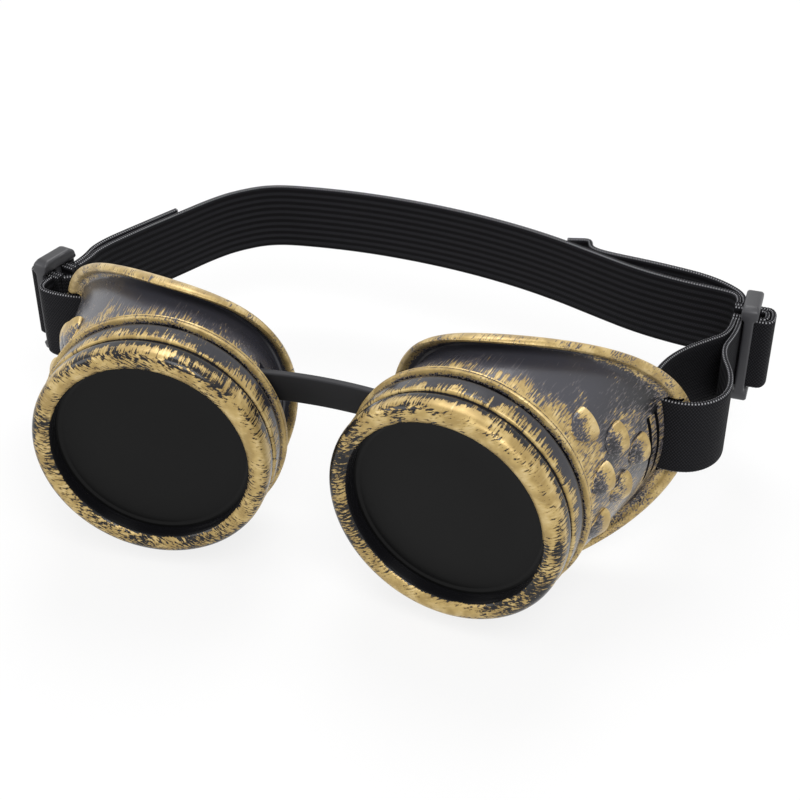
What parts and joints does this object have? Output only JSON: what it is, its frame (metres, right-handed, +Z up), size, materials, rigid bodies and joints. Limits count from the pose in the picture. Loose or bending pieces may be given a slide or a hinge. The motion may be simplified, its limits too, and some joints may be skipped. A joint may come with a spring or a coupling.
{
  "type": "round-lens goggles",
  "caption": "Round-lens costume goggles: flared vented eyecups with screw-on bezel rings and dark lenses, a rubber nose bridge and an adjustable elastic head strap.",
  "frame": {"origin": "point on the wearer's face midway between the eyes, level with the lens axes", "axes": "+X to the right as seen from in front, +Y back towards the head, +Z up"},
  "size_m": [0.1868, 0.1272, 0.0646],
  "materials": {
    "antique_gold_shell": "black moulded plastic dry-brushed with antique gold",
    "antique_gold_ring": "black moulded plastic dry-brushed with antique gold, heaviest on the rounded bezel",
    "dark_lens": "polished near-black lens",
    "slider_plastic": "satin dark grey moulding",
    "elastic": "black ribbed elastic with pale edge stitches",
    "bridge_rubber": "satin black soft rubber"
  },
  "bodies": {
    "bridge": {"nose_bridge": "bridge_rubber", "strap_back": "elastic"},
    "left_cup": {"left_eyecup": "antique_gold_shell", "left_strap_outer_leg": "elastic", "left_strap_inner_leg": "elastic", "left_strap_run": "elastic"},
    "left_lens_pack": {"left_lens": "dark_lens"},
    "left_ring": {"left_bezel_ring": "antique_gold_ring"},
    "left_adjuster": {"left_slider": "slider_plastic", "left_strap_arch": "elastic", "left_strap_tail": "elastic"},
    "right_cup": {"right_eyecup": "antique_gold_shell", "right_strap_outer_leg": "elastic", "right_strap_inner_leg": "elastic", "right_strap_run": "elastic"},
    "right_lens_pack": {"right_lens": "dark_lens"},
    "right_ring": {"right_bezel_ring": "antique_gold_ring"},
    "right_adjuster": {"right_slider": "slider_plastic", "right_strap_arch": "elastic", "right_strap_tail": "elastic"}
  },
  "joints": [
    {"name": "left_cup_swivel", "type": "hinge", "parent": "bridge", "child": "left_cup", "pos_m": [-0.0134, -0.00911, 0.0114], "axis": [0, 0, -1], "range_deg": [-8, 10], "stiffness_Nm_per_rad": 0.05, "deforming": ["strap_back"]},
    {"name": "left_lens_travel", "type": "slide", "parent": "left_cup", "child": "left_lens_pack", "axis": [0.1461, -0.9893, 0], "range_m": [0, 0.00501]},
    {"name": "left_ring_turn", "type": "hinge", "parent": "left_lens_pack", "child": "left_ring", "pos_m": [-0.0344, -0.03, 0], "axis": [0.1461, -0.9893, 0], "range_deg": [0, 720]},
    {"name": "left_slider_slide", "type": "slide", "parent": "left_cup", "child": "left_adjuster", "axis": [0.225, 0.9744, 0], "range_m": [0, 0.012], "deforming": ["left_strap_outer_leg", "left_strap_inner_leg", "left_strap_run", "left_strap_tail"]},
    {"name": "right_cup_swivel", "type": "hinge", "parent": "bridge", "child": "right_cup", "pos_m": [0.0134, -0.00911, 0.0114], "axis": [0, 0, 1], "range_deg": [-8, 10], "stiffness_Nm_per_rad": 0.05, "deforming": ["strap_back"]},
    {"name": "right_lens_travel", "type": "slide", "parent": "right_cup", "child": "right_lens_pack", "axis": [-0.1461, -0.9893, 0], "range_m": [0, 0.00501]},
    {"name": "right_ring_turn", "type": "hinge", "parent": "right_lens_pack", "child": "right_ring", "pos_m": [0.0344, -0.03, 0], "axis": [-0.1461, -0.9893, 0], "range_deg": [0, 720]},
    {"name": "right_slider_slide", "type": "slide", "parent": "right_cup", "child": "right_adjuster", "axis": [0, 1, 0], "range_m": [-0.012, 0.004], "deforming": ["right_strap_outer_leg", "right_strap_inner_leg", "right_strap_run", "right_strap_tail"]}
  ],
  "couplings": [
    {"joint": "left_lens_travel", "follows": "left_ring_turn", "m_per_rad": 0.00039789},
    {"joint": "right_lens_travel", "follows": "right_ring_turn", "m_per_rad": 0.00039789}
  ]
}
